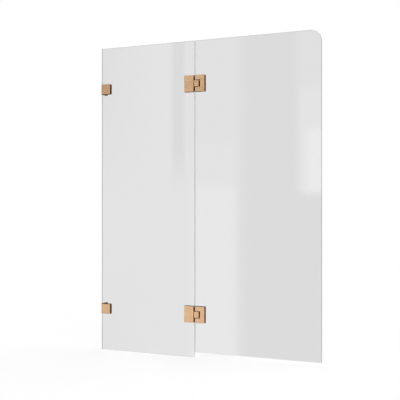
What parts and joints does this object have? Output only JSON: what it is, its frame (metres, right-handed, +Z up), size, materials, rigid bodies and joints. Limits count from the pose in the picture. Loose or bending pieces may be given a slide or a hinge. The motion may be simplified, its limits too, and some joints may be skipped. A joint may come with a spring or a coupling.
{
  "type": "hinged bath screen",
  "caption": "Frameless bath screen: a fixed glass panel on wall clamps carries a glass door with a rounded top corner on notched pivot hinges that swing both ways.",
  "frame": {"origin": "on the wall, in the middle of the glass thickness, at the centre height of the lower wall clamp", "axes": "+X along the closed screen away from the wall, +Y through the glass to its rear, where the wall flanges are, +Z up"},
  "size_m": [1.11, 0.057, 1.5],
  "materials": {
    "clear_glass": "clear, polished edges",
    "rose_gold": "brushed rose gold",
    "screw_metal": "satin rose gold",
    "plain_steel": "ground",
    "dark_gasket": "dark brown, moulded",
    "white_plastic": "moulded",
    "dark_plastic": "moulded"
  },
  "bodies": {
    "fixed": {"fixed_glass": "clear_glass", "lower_clamp_bracket": "rose_gold", "lower_clamp_front_plate": "rose_gold", "lower_clamp_screw": "screw_metal", "lower_clamp_gaskets": "dark_gasket", "lower_clamp_edge_pad": "dark_gasket", "lower_clamp_sleeve": "white_plastic", "lower_hinge_fixed_front_plate": "rose_gold", "lower_hinge_fixed_back_plate": "rose_gold", "lower_hinge_pivot_block": "rose_gold", "lower_hinge_fixed_screws": "screw_metal", "lower_hinge_detent_spring": "plain_steel", "lower_hinge_detent_plug": "plain_steel", "lower_hinge_fixed_gaskets": "dark_gasket", "lower_hinge_pivot_bushes": "dark_plastic", "upper_clamp_bracket": "rose_gold", "upper_clamp_front_plate": "rose_gold", "upper_clamp_screw": "screw_metal", "upper_clamp_gaskets": "dark_gasket", "upper_clamp_edge_pad": "dark_gasket", "upper_clamp_sleeve": "white_plastic", "upper_hinge_fixed_front_plate": "rose_gold", "upper_hinge_fixed_back_plate": "rose_gold", "upper_hinge_pivot_block": "rose_gold", "upper_hinge_fixed_screws": "screw_metal", "upper_hinge_detent_spring": "plain_steel", "upper_hinge_detent_plug": "plain_steel", "upper_hinge_fixed_gaskets": "dark_gasket", "upper_hinge_pivot_bushes": "dark_plastic"},
    "door": {"door_glass": "clear_glass", "lower_hinge_door_front_plate": "rose_gold", "lower_hinge_door_back_plate": "rose_gold", "lower_hinge_door_gaskets": "dark_gasket", "lower_hinge_door_screws": "screw_metal", "lower_hinge_pivot_pin": "plain_steel", "lower_hinge_pin_grub_screws": "screw_metal", "upper_hinge_door_front_plate": "rose_gold", "upper_hinge_door_back_plate": "rose_gold", "upper_hinge_door_gaskets": "dark_gasket", "upper_hinge_door_screws": "screw_metal", "upper_hinge_pivot_pin": "plain_steel", "upper_hinge_pin_grub_screws": "screw_metal"},
    "lower_detent": {"lower_hinge_detent_plunger": "plain_steel"},
    "upper_detent": {"upper_hinge_detent_plunger": "plain_steel"}
  },
  "joints": [
    {"name": "door_swing", "type": "hinge", "parent": "fixed", "child": "door", "pos_m": [0.51725, 0, 0], "axis": [0, 0, 1], "range_deg": [-90, 90]},
    {"name": "lower_detent_slide", "type": "slide", "parent": "fixed", "child": "lower_detent", "axis": [1, 0, 0], "range_m": [0, 0.0008], "stiffness_N_per_m": 4000, "springref_m": 0.006, "deforming": ["lower_hinge_detent_spring"]},
    {"name": "upper_detent_slide", "type": "slide", "parent": "fixed", "child": "upper_detent", "axis": [1, 0, 0], "range_m": [0, 0.0008], "stiffness_N_per_m": 4000, "springref_m": 0.006, "deforming": ["upper_hinge_detent_spring"]}
  ]
}
